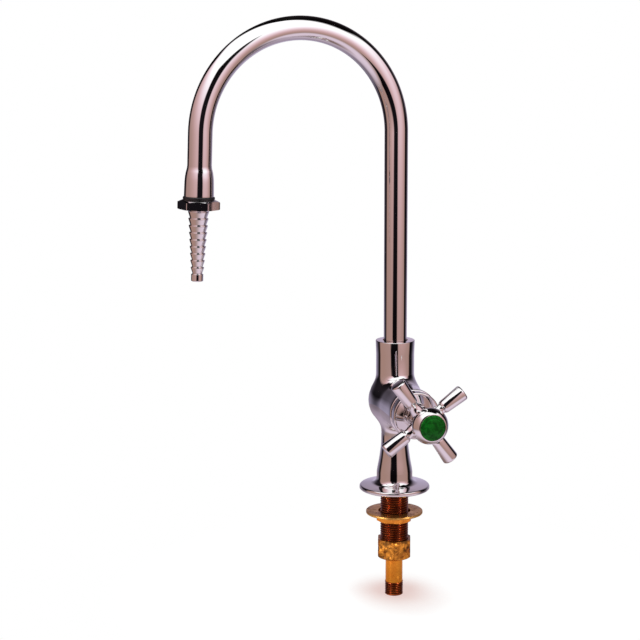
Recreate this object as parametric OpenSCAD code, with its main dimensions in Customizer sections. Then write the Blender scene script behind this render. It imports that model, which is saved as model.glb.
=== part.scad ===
// Laboratory gooseneck tap for a bench top: body with a side valve and a
// four-arm handle, a bent swivelling spout with a serrated hose nozzle, and
// the shank, washer, locknut and tail pipe that hang below the deck.
// Frame: the origin is the centre of the flange's underside, on the deck.
// +Z is up, the valve points along -Y and the spout reaches towards -X.

/* [Body] */
// Outer radius of the deck flange
flange_r = 26.4; // [24:0.1:30]
// Thickness of the flange at its rim
flange_t = 3.1; // [2.4:0.1:4]
// Radius of the pedestal just above the flange
foot_r = 13.4; // [12.8:0.1:15]
// Smallest radius of the pedestal
waist_r = 10.1; // [9.2:0.1:11]
// Height of the pedestal's waist
waist_z = 39.5; // [36:0.5:42]
// Radius of the globe round the valve
globe_r = 18.95; // [17.5:0.05:20]
// Height of the valve's axis above the deck
valve_z = 68.5; // [66:0.5:72]
// Radius of the spout collar
collar_r = 14.2; // [13:0.1:16]
// Height of the collar's top
collar_z = 114.1; // [108:0.1:120]
// Radius of the front boss
boss_r = 17.8; // [16.5:0.1:19]
// Distance of the boss's mouth from the body's axis
boss_len = 47.5; // [46:0.5:52]
// Radius of the inlet waterway in the pedestal
inlet_r = 5; // [3:0.1:6]
// Radius of the port that rises from the valve to the spout
port_r = 3; // [2:0.1:3.4]

/* [Spout] */
// Horizontal distance from the riser to the drop leg
spout_spread = 150; // [120:1:180]
// Outer radius of the tube
tube_r = 8.575; // [8:0.005:8.6]
// Wall of the tube
tube_wall = 1.6; // [1:0.1:2.5]
// Height at which the arch begins
arch_z = 268.4; // [200:0.5:320]
// Sweep of the arch, a little short of a half turn
arch_sweep = 177.8; // [170:0.1:180]
// Length of the drop leg below the arch, in the tube
drop_len = 34; // [31:0.5:60]
// Swing of the spout towards the valve's side
spout_swing = 8; // [0:1:30]
// Outer radius of the socket at its lower end
socket_r = 10.6; // [10.2:0.1:12]

/* [Nozzle] */
// Width of the hexagon across flats
nozzle_af = 26.1; // [24:0.1:30]
// Thickness of the hexagon
nozzle_hex_t = 8.3; // [6:0.1:10]
// Number of hose ridges
ridges = 10; // [6:1:10]
// Distance from one ridge to the next
ridge_pitch = 4.93; // [4:0.01:5.5]
// Radius of the first and widest ridge
ridge_r0 = 7.35; // [6.8:0.05:8]
// Loss of radius from one ridge to the next
ridge_step = 0.33; // [0.1:0.01:0.33]
// Radius of the lead land at the tip
tip_r = 4.3; // [4:0.05:4.3]
// Radius of the waterway through the nozzle
nozzle_bore_r = 2.8; // [1.5:0.1:3]

/* [Valve] */
// Radius of the bonnet's round flange
bonnet_r = 17.3; // [16:0.1:17.6]
// Width of the bonnet's round flange
bonnet_t = 7; // [6:0.1:8]
// Radius of the spindle's thread and shaft
spindle_r = 5; // [4.5:0.05:5.2]
// Radius of the jumper
jumper_r = 9.5; // [9:0.1:10]
// Radius of the seat washer
seat_washer_r = 5.9; // [5.6:0.1:6.5]
// Lift of the jumper when the valve is wide open
jumper_lift = 3.75; // [1:0.05:3.8]

/* [Handle] */
// Distance of the arms' plane from the body's axis
arm_plane = 72.8; // [72:0.1:75]
// Distance from the valve's axis to the end of an arm
arm_len = 34.9; // [30:0.1:42]
// Radius of an arm at its root
arm_r0 = 4.9; // [4:0.05:5]
// Radius of an arm at its end
arm_r1 = 5.85; // [5:0.05:6]
// Turn of the first arm from the level
arm_turn = 35.1; // [0:0.1:90]
// Radius of the hub's front rim
hub_r = 13.2; // [12.5:0.1:14]
// Radius of the index button
index_r = 9.2; // [8.6:0.1:9.4]

/* [Below the deck] */
// Outer radius of the threaded shank
shank_r = 10.65; // [10.3:0.05:10.8]
// Distance from the deck face to the clamp washer
clamp_gap = 17.4; // [6:0.1:19]
// Outer radius of the clamp washer
washer_r = 21.4; // [18:0.1:25]
// Thickness of the clamp washer
washer_t = 1.7; // [1:0.1:3]
// Width of the locknut across flats
locknut_af = 25.4; // [25:0.1:28]
// Thickness of the locknut
locknut_t = 5.8; // [4:0.1:7]
// Width of the tail coupling across flats
coupling_af = 24.6; // [24.2:0.1:28]
// Length of the tail coupling
coupling_len = 14.8; // [14:0.1:18]
// Height of the coupling's top, below the deck face
coupling_top = 39; // [38:0.1:45]
// Radius of the tail pipe's thread
tail_r = 6.86; // [6.4:0.01:6.9]
// Length of the tail pipe's thread
tail_thread = 10.3; // [8:0.1:14]
// Length of the tail pipe below the coupling
tail_len = 29.5; // [20:0.5:40]

/* [Fits] */
// Radial clearance of threads and turning fits
run_fit = 0.05; // [0.02:0.01:0.1]

/* [Hidden] */
$fn = 64;
chrome = "silver";
brass = "goldenrod";
bright_brass = "gold";
fibre = "firebrick";
rubber = "dimgray";
steel = "lightsteelblue";
edge = 0.6;
small_edge = 0.3;
cut = 1;
lap = 0.3;
swage = 0.02;

// Body
shank_top = 11;
neck_bore_r = 6.5;
swivel_floor = 91;
swivel_bore_r = 9.3;
globe_z = valve_z + 1.1;
globe_arc = 20.6;
pedestal_z = [0.34, 0.43, 0.595, 0.735, 0.85, 0.95] * waist_z;
boss_waist = 0.5;
boss_ease = 1.1;
port_s = 20.2;
port_z = valve_z + 6.5;
port_tilt = 46.8;
port_len = 21.5;
lower_arc = 20;
upper_arc = 24;
inlet_top = valve_z + 4;
chamber_r = 11;
chamber_back = 15;
seat_back = 8;
seat_bore_r = 7;
bonnet_bore_r = 12.5;
bonnet_bore_back = 33;

// Valve, measured along the valve's axis from the body's axis
gasket_t = 1;
bonnet_back = boss_len + gasket_t;
bonnet_front = bonnet_back + bonnet_t;
barrel_back = 35;
rim_ease = 1.2;
rim_last = 110;
neck_r = 9.2;
neck_front = 60;
dish_r = 3.2;
dish_cx = neck_r + dish_r;
dish_cs = bonnet_front + 1;
dish_first = -21;
dish_last = -180;
web_back = 47.5;
web_front = 49.5;
pocket_r = 7.4;
collar_front = 52.5;
thrust_front = 53.3;
gland_front = 62;
gland_af = 15;
seat_lip = 16.2;
washer_front = 19.4;
jumper_front = 41;
jumper_thread_back = 24;
spindle_back = jumper_thread_back + jumper_lift + 0.25;
flat_half = 8;
square_w = 6.4;
square_back = 65;
square_front = 78;
screw_r = 2;
small_screw_r = 1.6;
oring_r = 0.55;
gland_rings = [55.3, 58.6];
gland_bore_r = spindle_r + 0.08;
oring_centre = gland_bore_r - oring_r - 0.01;

// Handle
hub_back = 63;
barrel_r = 9.8;
rim_s = 86.5;
hub_front = 92.6;
neck_arm_r = 3.4;
arm_root = 17.2;
cup_r = 7.5;
cup_back = 80;
index_back = 84;
index_lip = 1.4;
dome_r = 22.6;

// Spout
tube_in = tube_r - tube_wall;
arch_r = spout_spread / 2;
nipple_top = 111;
tube_foot = 103;
nipple_r = swivel_bore_r - run_fit;
nipple_rings = [94.6, 98];
nipple_oring_r = 0.93;
ring_z = 100.4;
ring_t = 1.1;
socket_top = drop_len - 11.6;
socket_end = drop_len + 10.4;
nozzle_turn = 22.6;
plug_r = 7.6;
sealing_t = 1.6;
ridge_root = 1.35;
hex_top = socket_end;
hex_end = hex_top + nozzle_hex_t;
shoulder_r = 11;
shoulder_t = 1.4;
hex_drop = 3.2;
hex_ease = 0.8;
ridge_start = hex_end + 1.4;
tip_end = ridge_start + (ridges - 1) * ridge_pitch + 5.1;
nozzle_corner = nozzle_af / 2 / cos(30);

// Below the deck
shank_end = -46;
washer_hole_r = shank_r + 1.5;
tail_flange_t = 2.6;
gasket_low = 1.5;
coupling_end = -coupling_top - coupling_len;
coupling_turn = 13;
thread_step = 0.36;
locknut_turn = 8;
tail_end = coupling_end - tail_len;

// Points of an arc about (cx, cy), from angle a0 to a1 in n steps
function arc(cx, cy, r, a0, a1, n) =
    [for (i = [0:n]) [cx + r * cos(a0 + (a1 - a0) * i / n), cy + r * sin(a0 + (a1 - a0) * i / n)]];

// Turns a part drawn along +Z so that it points out of the valve, along -Y
module at_valve() {
    translate([0, 0, valve_z]) rotate([90, 0, 0]) children();
}

// Swings a part of the spout about the body's axis
module at_spout() {
    rotate([0, 0, spout_swing]) children();
}

// Puts a part drawn along +Z on the drop leg, t below the arch's end
module at_drop(t) {
    at_spout()
    translate([-arch_r, 0, arch_z]) rotate([0, -arch_sweep, 0]) translate([arch_r, 0, t]) children();
}

// A ring drawn along +Z from z0 to z1
module ring(r_out, r_in, z0, z1) {
    translate([0, 0, z0]) difference() {
        cylinder(r = r_out, h = z1 - z0);
        translate([0, 0, -cut]) cylinder(r = r_in, h = z1 - z0 + 2 * cut);
    }
}

// A solid rod drawn along +Z from z0 to z1
module rod(r, z0, z1) {
    translate([0, 0, z0]) cylinder(r = r, h = z1 - z0);
}

// A plain hexagonal rod across flats af from z0 to z1
module rod_of_six(af, z0, z1) {
    translate([0, 0, z0]) cylinder(r = af / 2 / cos(30), h = z1 - z0, $fn = 6);
}

// A hexagonal rod across flats af from z0 to z1, its corners eased at the ends
module hex_rod(af, z0, z1, ease_low, ease_high) {
    corner = af / 2 / cos(30);
    intersection() {
        rod_of_six(af, z0, z1);
        rotate_extrude() polygon([[0, z0], [corner - ease_low, z0], [corner, z0 + ease_low * 0.6],
            [corner, z1 - ease_high * 0.6], [corner - ease_high, z1], [0, z1]]);
    }
}

// An O-ring about +Z at height z
module oring(r_centre, r, z) {
    translate([0, 0, z]) rotate_extrude() translate([r_centre, 0]) circle(r = r, $fn = 24);
}

// The outline of the turned body: flange, pedestal, globe and collar.
// The centres of the two hollow curves follow from where they touch the globe.
globe_cx = globe_r - globe_arc;
lower_cx = waist_r + lower_arc;
lower_cz = globe_z - sqrt((globe_arc + lower_arc) * (globe_arc + lower_arc)
    - (lower_cx - globe_cx) * (lower_cx - globe_cx));
upper_cx = collar_r + upper_arc;
upper_cz = globe_z + sqrt((globe_arc + upper_arc) * (globe_arc + upper_arc)
    - (upper_cx - globe_cx) * (upper_cx - globe_cx));
lower_a = atan2(globe_z - lower_cz, globe_cx - lower_cx);
upper_a = atan2(upper_cz - globe_z, upper_cx - globe_cx);
flare_r = 5.5;
flare_low = 262;
flare_high = 188;
half_turn = 180;
collar_band = 10.1;
collar_flare = 0.35;

module body_outline() {
    polygon(concat(
        [[0, 0], [flange_r - edge, 0], [flange_r, edge]],
        arc(flange_r - flange_t / 2, flange_t / 2 + 0.2, flange_t / 2, 0, 80, 4),
        [[foot_r + flare_r + 1.2, flange_t + 1]],
        arc(foot_r + flare_r, flange_t + 1.3 + flare_r, flare_r, flare_low, flare_high, 7),
        [[foot_r, pedestal_z[0]], [foot_r - 0.55, pedestal_z[1]], [foot_r - 1.75, pedestal_z[2]],
         [waist_r + 0.75, pedestal_z[3]], [waist_r + 0.2, pedestal_z[4]], [waist_r, pedestal_z[5]]],
        arc(lower_cx, lower_cz, lower_arc, half_turn, lower_a, 8),
        arc(globe_cx, globe_z, globe_arc, lower_a - half_turn, upper_a, 14),
        arc(upper_cx, upper_cz, upper_arc, upper_a + half_turn, half_turn, 8),
        [[collar_r, collar_z - collar_band], [collar_r + collar_flare, collar_z - edge],
         [collar_r + collar_flare - edge, collar_z], [0, collar_z]]));
}

module tap_body() {
    color(chrome) difference() {
        union() {
            rotate_extrude() body_outline();
            at_valve() rotate_extrude() polygon([[0, 0], [boss_r - boss_waist, 0],
                [boss_r - boss_waist, 0.63 * boss_len], [boss_r - 0.35, 0.8 * boss_len],
                [boss_r, 0.905 * boss_len], [boss_r, boss_len - boss_ease],
                [boss_r - 0.4, boss_len - 0.3], [boss_r - boss_ease, boss_len], [0, boss_len]]);
        }
        // Shank socket, inlet and the way up to the spout
        rod(shank_r + run_fit, -cut, shank_top);
        rod(inlet_r, shank_top - cut, inlet_top);
        rod(neck_bore_r, swivel_floor - 5, swivel_floor + cut);
        rod(swivel_bore_r, swivel_floor, collar_z + cut);
        rod(swivel_bore_r + 1.2, ring_z - 0.1, ring_z + ring_t + 0.1);
        translate([0, -port_s, port_z]) rotate([-port_tilt, 0, 0]) rod(port_r, -cut, port_len);
        // Valve chamber
        at_valve() {
            rod(inlet_r, -3, seat_back + cut);
            rod(seat_bore_r + run_fit, seat_back, chamber_back + cut);
            rod(chamber_r, chamber_back, bonnet_bore_back + cut);
            rod(bonnet_bore_r + run_fit, bonnet_bore_back, boss_len + cut);
        }
    }
}

module mounting_shank() {
    color(brass) difference() {
        rotate_extrude() polygon([[0, shank_end], [shank_r - 1, shank_end],
            [shank_r, shank_end + 1], [shank_r, shank_top - 1], [shank_r - 1, shank_top],
            [0, shank_top]]);
        rod(inlet_r, shank_end - cut, shank_top + cut);
    }
}

module tail_coupling() {
    color(brass) difference() {
        rotate([0, 0, coupling_turn]) hex_rod(coupling_af, coupling_end, -coupling_top, 2.2, 0.8);
        rod(shank_r + run_fit, shank_end - gasket_low - tail_flange_t, -coupling_top + cut);
        rod(tail_r + run_fit, coupling_end - cut, -coupling_top);
    }
}

module tail_washer() {
    color(fibre) ring(shank_r - 0.2, inlet_r, shank_end - gasket_low, shank_end);
}

module inlet_tailpiece() {
    flange_z = shank_end - gasket_low - tail_flange_t;
    color(brass) difference() {
        union() {
            rod(shank_r - 0.2, flange_z, flange_z + tail_flange_t);
            rod(tail_r - thread_step, tail_end + tail_thread, flange_z + cut);
            rod(tail_r, tail_end + edge, tail_end + tail_thread);
            translate([0, 0, tail_end]) cylinder(r1 = tail_r - edge, r2 = tail_r, h = edge);
        }
        rod(inlet_r - 0.4, tail_end - cut, flange_z + tail_flange_t + cut);
    }
}

module clamp_washer() {
    color(brass) translate([0, 0, -clamp_gap - washer_t])
        rotate_extrude() polygon([[washer_hole_r, 0], [washer_r - 0.3, 0], [washer_r, 0.3],
            [washer_r, washer_t - 0.3], [washer_r - 0.3, washer_t], [washer_hole_r, washer_t]]);
}

module locknut() {
    color(bright_brass) difference() {
        rotate([0, 0, locknut_turn]) hex_rod(locknut_af, -clamp_gap - washer_t - locknut_t,
            -clamp_gap - washer_t, 2.2, 0.4);
        rod(shank_r + run_fit, -clamp_gap - washer_t - locknut_t - cut, -clamp_gap);
    }
}

module valve_seat() {
    color(brass) at_valve() rotate_extrude() polygon([[3.6, seat_back], [seat_bore_r, seat_back],
        [seat_bore_r, chamber_back - edge], [seat_bore_r - edge, chamber_back],
        [5.4, chamber_back], [5, seat_lip], [4, seat_lip], [3.6, seat_lip - 0.5]]);
}

module bonnet() {
    color(chrome) at_valve() difference() {
        rotate_extrude() polygon(concat(
            [[0, barrel_back], [bonnet_bore_r - edge, barrel_back],
             [bonnet_bore_r, barrel_back + edge], [bonnet_bore_r, bonnet_back],
             [bonnet_r - edge, bonnet_back], [bonnet_r, bonnet_back + edge]],
            arc(bonnet_r - rim_ease, bonnet_front - rim_ease, rim_ease, 0, rim_last, 5),
            arc(dish_cx, dish_cs, dish_r, dish_first, dish_last, 10),
            [[neck_r - small_edge, neck_front - edge], [neck_r - small_edge - edge, neck_front],
             [0, neck_front]]));
        intersection() {
            rod(jumper_r + run_fit, barrel_back - cut, web_back);
            translate([-jumper_r - cut, -flat_half - run_fit, barrel_back - cut])
                cube([2 * (jumper_r + cut), 2 * (flat_half + run_fit), web_back - barrel_back + cut]);
        }
        rod(spindle_r + 0.1, web_back - cut, web_front + cut);
        rod(pocket_r, web_front, neck_front + cut);
    }
}

module bonnet_washer() {
    color(fibre) at_valve() ring(boss_r - 1.8, bonnet_bore_r + 0.1, boss_len, bonnet_back);
}

module spindle() {
    color(brass) at_valve() difference() {
        union() {
            translate([0, 0, spindle_back]) cylinder(r1 = spindle_r - edge, r2 = spindle_r, h = edge);
            rod(spindle_r, spindle_back + edge, web_front);
            rod(pocket_r - 0.1, web_front, collar_front);
            rod(spindle_r, collar_front, square_back);
            translate([-square_w / 2, -square_w / 2, square_back - cut])
                cube([square_w, square_w, square_front - square_back + cut]);
        }
        for (s = gland_rings) ring(spindle_r + cut, oring_centre - oring_r - 0.01, s - 0.75, s + 0.75);
        rod(screw_r + run_fit, square_front - 10, square_front + cut);
    }
}

module thrust_washer() {
    color(rubber) at_valve() ring(pocket_r - 0.1, spindle_r + 0.1, collar_front, thrust_front);
}

module gland_nut() {
    color(chrome) at_valve() difference() {
        union() {
            rod(pocket_r - run_fit, thrust_front, neck_front + cut);
            hex_rod(gland_af, neck_front, gland_front, 0, 0.8);
        }
        rod(gland_bore_r, thrust_front - cut, gland_front + cut);
    }
}

module spindle_orings() {
    color(rubber) at_valve() for (s = gland_rings) oring(oring_centre, oring_r, s);
}

module jumper() {
    color(brass) at_valve() difference() {
        union() {
            rod(jumper_r - 1.2, washer_front - 2.2, 22);
            intersection() {
                rod(jumper_r, 21.5, jumper_front);
                translate([-jumper_r - cut, -flat_half, 21])
                    cube([2 * (jumper_r + cut), 2 * flat_half, jumper_front]);
            }
        }
        rod(seat_washer_r + 0.1, washer_front - 2.2 - cut, washer_front);
        rod(small_screw_r + run_fit, washer_front - cut, washer_front + 3.2);
        rod(spindle_r + run_fit, jumper_thread_back, jumper_front + cut);
    }
}

module seat_washer() {
    color(rubber) at_valve() difference() {
        rod(seat_washer_r, seat_lip, washer_front);
        rod(1.7, seat_lip - cut, washer_front + cut);
        rod(3.1, seat_lip - cut, seat_lip + 1.2);
    }
}

module washer_screw() {
    color(brass) at_valve() difference() {
        union() {
            rod(3, seat_lip - 0.2, seat_lip + 1.2);
            rod(small_screw_r, seat_lip + 1, washer_front + 3);
        }
        translate([-4, -0.4, seat_lip - 1]) cube([8, 0.8, 1.5]);
    }
}

// One arm, along +X from the hub
module arm() {
    rotate([0, 90, 0]) rotate_extrude() polygon(concat(
        [[0, barrel_r - 1.5], [neck_arm_r + 0.5, barrel_r - 1.5], [neck_arm_r, barrel_r + 1.2],
         [neck_arm_r, arm_root - 0.6], [arm_r0 - 0.9, arm_root - 0.5],
         [arm_r0 - 0.25, arm_root], [arm_r0, arm_root + 0.8]],
        arc(arm_r1 - 1.6, arm_len - 1.6, 1.6, 0, 90, 4),
        [[0, arm_len]]));
}

module cross_handle() {
    color(chrome) at_valve() difference() {
        union() {
            rotate_extrude() polygon([[0, hub_back], [barrel_r - 1.6, hub_back],
                [barrel_r - 1, hub_back + 0.5], [barrel_r, hub_back + 4.5], [barrel_r, 79],
                [barrel_r + 1, 82], [hub_r - 0.5, rim_s - 2], [hub_r, rim_s - 1], [hub_r, rim_s],
                [hub_r - 0.55, rim_s + 2.2], [hub_r - 1.7, rim_s + 4.2],
                [index_r + 0.9, hub_front - 0.3], [index_r + 0.2, hub_front], [0, hub_front]]);
            for (k = [0:3]) rotate([0, 0, arm_turn + 90 * k]) translate([0, 0, arm_plane]) arm();
        }
        rod(spindle_r + 0.3, hub_back - cut, square_back + 0.6);
        translate([-square_w / 2 - run_fit, -square_w / 2 - run_fit, square_back - cut])
            cube([square_w + 2 * run_fit, square_w + 2 * run_fit, square_front - square_back + cut]);
        rod(screw_r + 0.2, square_front - cut, cup_back + cut);
        rod(cup_r, cup_back, hub_front + cut);
        rod(index_r + 0.1, hub_front - index_lip, hub_front + cut);
    }
}

module handle_screw() {
    color(brass) at_valve() difference() {
        union() {
            rod(screw_r, square_front - 9, cup_back + cut);
            rod(3.9, cup_back, cup_back + 2.6);
        }
        translate([-5, -0.5, cup_back + 1.4]) cube([10, 1, 2]);
    }
}

module index_button() {
    color("green") at_valve() difference() {
        rotate_extrude() polygon(concat([[0, index_back], [cup_r - 0.1, index_back],
            [cup_r - 0.1, hub_front - index_lip], [index_r, hub_front - index_lip],
            [index_r, hub_front - 0.2]],
            arc(0, hub_front + 2 - dome_r, dome_r, acos(index_r / dome_r), 90, 6)));
        rod(cup_r - 1.6, index_back - cut, index_back + 5);
    }
}

module swivel_nipple() {
    color(brass) at_spout() difference() {
        rod(nipple_r, swivel_floor, nipple_top);
        rod(inlet_r + 0.5, swivel_floor - cut, tube_foot + cut);
        rod(tube_r + run_fit, tube_foot, nipple_top + cut);
        for (z = nipple_rings) ring(nipple_r + cut, nipple_r - 1.9, z - 1, z + 1);
        ring(nipple_r + cut, nipple_r - 1.2, ring_z, ring_z + ring_t);
    }
}

module swivel_orings() {
    color(rubber) at_spout() for (z = nipple_rings) oring(nipple_r - 0.95, nipple_oring_r, z);
}

module swivel_ring() {
    color(steel) at_spout() difference() {
        ring(swivel_bore_r + 1.1, nipple_r - 1.15, ring_z + 0.05, ring_z + ring_t - 0.05);
        translate([0, -2, ring_z - cut]) cube([20, 4, ring_t + 2 * cut]);
    }
}

// The tube's wall as a flat ring shape, made fuller on both sides by grow
module tube_ring(grow = 0) {
    difference() {
        circle(r = tube_r + grow);
        circle(r = tube_in - grow);
    }
}

module gooseneck_tube() {
    color(chrome) union() {
        at_spout() translate([0, 0, tube_foot]) linear_extrude(arch_z - tube_foot) tube_ring();
        at_spout() translate([-arch_r, 0, arch_z]) rotate([90, 0, 0])
            rotate_extrude(angle = arch_sweep) translate([arch_r, 0]) tube_ring();
        at_drop(-lap) linear_extrude(drop_len + lap) tube_ring(swage);
    }
}

module outlet_socket() {
    color(chrome) at_drop(0) difference() {
        rotate_extrude() polygon([[0, socket_top], [tube_r + 0.3, socket_top],
            [tube_r + 0.45, socket_top + 1.6], [tube_r + 0.95, socket_top + 4.2],
            [tube_r + 1.35, socket_top + 6.8], [tube_r + 1.6, socket_top + 9.1],
            [socket_r - 0.1, socket_end - 1.4], [socket_r - 0.2, socket_end - 0.4],
            [socket_r - 0.6, socket_end], [0, socket_end]]);
        rod(tube_r + run_fit, socket_top - cut, drop_len);
        rod(plug_r, drop_len - cut, socket_end + cut);
        rod(plug_r + 1.2, socket_end - sealing_t, socket_end + cut);
    }
}

module nozzle_washer() {
    color(fibre) at_drop(0) ring(plug_r + 1.15, plug_r + run_fit, socket_end - sealing_t, socket_end);
}

module serrated_nozzle() {
    color(chrome) at_drop(0) difference() {
        union() {
            rod(plug_r - run_fit, drop_len + 2, hex_top + cut);
            intersection() {
                rotate([0, 0, nozzle_turn]) rod_of_six(nozzle_af, hex_top, hex_end);
                rotate_extrude() polygon([[0, hex_top], [shoulder_r - small_edge, hex_top],
                    [shoulder_r, hex_top + small_edge], [shoulder_r, hex_top + shoulder_t],
                    [nozzle_corner, hex_top + hex_drop], [nozzle_corner, hex_end - hex_ease * 0.6],
                    [nozzle_corner - hex_ease, hex_end], [0, hex_end]]);
            }
            rotate_extrude() polygon(concat([[0, hex_end - cut], [6.5, hex_end - cut],
                [6.5, ridge_start - 0.35]],
                [for (i = [0:ridges - 2]) for (k = [0:2])
                    [ridge_r0 - ridge_step * i - (k == 2 ? ridge_root : 0),
                     ridge_start + ridge_pitch * i + (k == 0 ? 0 : k == 1 ? 0.5 : ridge_pitch - 0.35)]],
                [[tip_r, ridge_start + ridge_pitch * (ridges - 1)], [tip_r, tip_end - 1],
                 [tip_r - 0.4, tip_end - 0.3], [tip_r - 1.1, tip_end], [0, tip_end]]));
        }
        rod(nozzle_bore_r, drop_len, tip_end + cut);
    }
}

tap_body();
mounting_shank();
tail_coupling();
tail_washer();
inlet_tailpiece();
clamp_washer();
locknut();
valve_seat();
bonnet();
bonnet_washer();
spindle();
thrust_washer();
gland_nut();
spindle_orings();
jumper();
seat_washer();
washer_screw();
cross_handle();
handle_screw();
index_button();
swivel_nipple();
swivel_orings();
swivel_ring();
gooseneck_tube();
outlet_socket();
nozzle_washer();
serrated_nozzle();
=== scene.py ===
"""Looks of a laboratory gooseneck tap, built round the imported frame.

Every piece is modelled in millimetres in its own local place, turned, extruded or
swept with bmesh operators, moved to the frame's place in its mesh, and given a
procedural finish. The frame's own hidden pieces keep their shape and get a finish.
"""

import logging  # noqa: E402
import math  # noqa: E402
from collections.abc import Sequence  # noqa: E402
from dataclasses import dataclass, replace  # noqa: E402
from enum import Enum  # noqa: E402

import bmesh  # noqa: E402
import bpy  # noqa: E402
from mathutils import Matrix, Vector, noise  # noqa: E402

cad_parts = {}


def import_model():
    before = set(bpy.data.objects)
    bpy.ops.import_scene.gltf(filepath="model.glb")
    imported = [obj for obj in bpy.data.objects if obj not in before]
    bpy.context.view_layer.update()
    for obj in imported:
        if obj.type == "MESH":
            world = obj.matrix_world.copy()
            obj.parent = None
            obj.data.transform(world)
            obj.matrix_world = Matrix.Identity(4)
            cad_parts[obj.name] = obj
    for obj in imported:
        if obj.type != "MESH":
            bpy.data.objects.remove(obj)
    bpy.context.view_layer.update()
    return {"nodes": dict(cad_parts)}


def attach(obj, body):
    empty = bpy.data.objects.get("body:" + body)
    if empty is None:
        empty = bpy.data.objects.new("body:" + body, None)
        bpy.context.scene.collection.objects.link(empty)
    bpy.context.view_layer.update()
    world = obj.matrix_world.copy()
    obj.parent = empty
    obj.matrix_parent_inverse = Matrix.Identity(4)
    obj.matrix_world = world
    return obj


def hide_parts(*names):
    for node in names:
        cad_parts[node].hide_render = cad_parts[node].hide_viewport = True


LOG = logging.getLogger("tap")
MM = 0.001
SMOOTH_ANGLE = math.radians(38)

Outline = Sequence[tuple[float, ...]]


class Join(Enum):
    """How two solids are put together."""

    ADD = "UNION"
    TAKE = "DIFFERENCE"
    COMMON = "INTERSECT"


class Slot(Enum):
    """The record's material slots."""

    CHROME = "chrome"
    THREAD = "thread_brass"
    ROUGH = "rough_brass"
    BRASS = "brass"
    WASHER = "washer_brass"
    BRIGHT = "bright_brass"
    FIBRE = "fibre"
    RUBBER = "rubber"
    SPRING = "spring_steel"
    INDEX = "index_green"


# --------------------------------------------------------------------------- shapes


def arc(cx: float, cz: float, r: float, a0: float, a1: float, n: int) -> list[tuple[float, float]]:
    """Points of an arc in an outline.

    Args:
        cx, cz: The arc's centre.
        r: Its radius.
        a0, a1: Its first and last angle in degrees.
        n: The number of steps.

    Returns:
        The n + 1 points from a0 to a1.
    """
    steps = (math.radians(a0 + (a1 - a0) * i / n) for i in range(n + 1))
    return [(cx + r * math.cos(a), cz + r * math.sin(a)) for a in steps]


def turned(outline: Outline, segments: int = 96, closed: bool = False) -> bmesh.types.BMesh:
    """Turns an outline about +Z.

    Args:
        outline: (radius, height) points in millimetres, with the width of the
            rounding of that corner as an optional third number.
        segments: The number of steps round the axis.
        closed: True where the outline is a loop that stays off the axis.

    Returns:
        The turned solid, with its normals outward.
    """
    bm = bmesh.new()
    rim = [bm.verts.new((p[0] * MM, 0, p[1] * MM)) for p in outline]
    edges = [bm.edges.new(pair) for pair in zip(rim, rim[1:])]
    if closed:
        edges.append(bm.edges.new((rim[-1], rim[0])))
    bmesh.ops.spin(bm, geom=rim + edges, cent=(0, 0, 0), axis=(0, 0, 1), angle=2 * math.pi,
                   steps=segments, use_merge=True)
    bmesh.ops.remove_doubles(bm, verts=bm.verts, dist=2e-7)
    bmesh.ops.recalc_face_normals(bm, faces=bm.faces)
    for width in sorted({p[2] for p in outline if len(p) > 2}):
        rungs = [(p[0] * MM, p[1] * MM) for p in outline if len(p) > 2 and p[2] == width]
        picked = [e for e in bm.edges if any(_on_ring(e, r, z) for r, z in rungs)]
        bmesh.ops.bevel(bm, geom=picked, offset=width * MM, offset_type="OFFSET", segments=4,
                        profile=0.5, affect="EDGES", material=-1, clamp_overlap=True)
    return bm


def _on_ring(edge: bmesh.types.BMEdge, r: float, z: float) -> bool:
    """True where both ends of an edge lie on the ring of radius r at height z."""
    return all(abs(v.co.z - z) < 2e-6 and abs(math.hypot(v.co.x, v.co.y) - r) < 2e-6
               for v in edge.verts)


def hexagon(across: float, low: float, high: float, turn: float, ease: float) -> bmesh.types.BMesh:
    """A hexagonal prism along +Z with rounded upright edges.

    Args:
        across: Width across the flats in millimetres.
        low, high: Its lower and upper end.
        turn: Turn about +Z in degrees; a corner lies on +X at 0.
        ease: Rounding of the upright edges.

    Returns:
        The closed prism.
    """
    bm = bmesh.new()
    bmesh.ops.create_circle(bm, cap_ends=True, segments=6, radius=across / math.sqrt(3) * MM)
    bmesh.ops.translate(bm, verts=bm.verts, vec=(0, 0, low * MM))
    grown = bmesh.ops.extrude_face_region(bm, geom=bm.faces[:])
    top = [g for g in grown["geom"] if isinstance(g, bmesh.types.BMVert)]
    bmesh.ops.translate(bm, verts=top, vec=(0, 0, (high - low) * MM))
    first = math.radians(turn) - math.atan2(bm.verts[:][0].co.y, bm.verts[:][0].co.x)
    bmesh.ops.rotate(bm, verts=bm.verts, cent=(0, 0, 0), matrix=Matrix.Rotation(first, 3, "Z"))
    bmesh.ops.recalc_face_normals(bm, faces=bm.faces)
    upright = [e for e in bm.edges if abs(e.verts[0].co.z - e.verts[1].co.z) > 1e-5]
    bmesh.ops.bevel(bm, geom=upright, offset=ease * MM, offset_type="OFFSET", segments=3,
                    profile=0.5, affect="EDGES", material=-1)
    return bm


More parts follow.
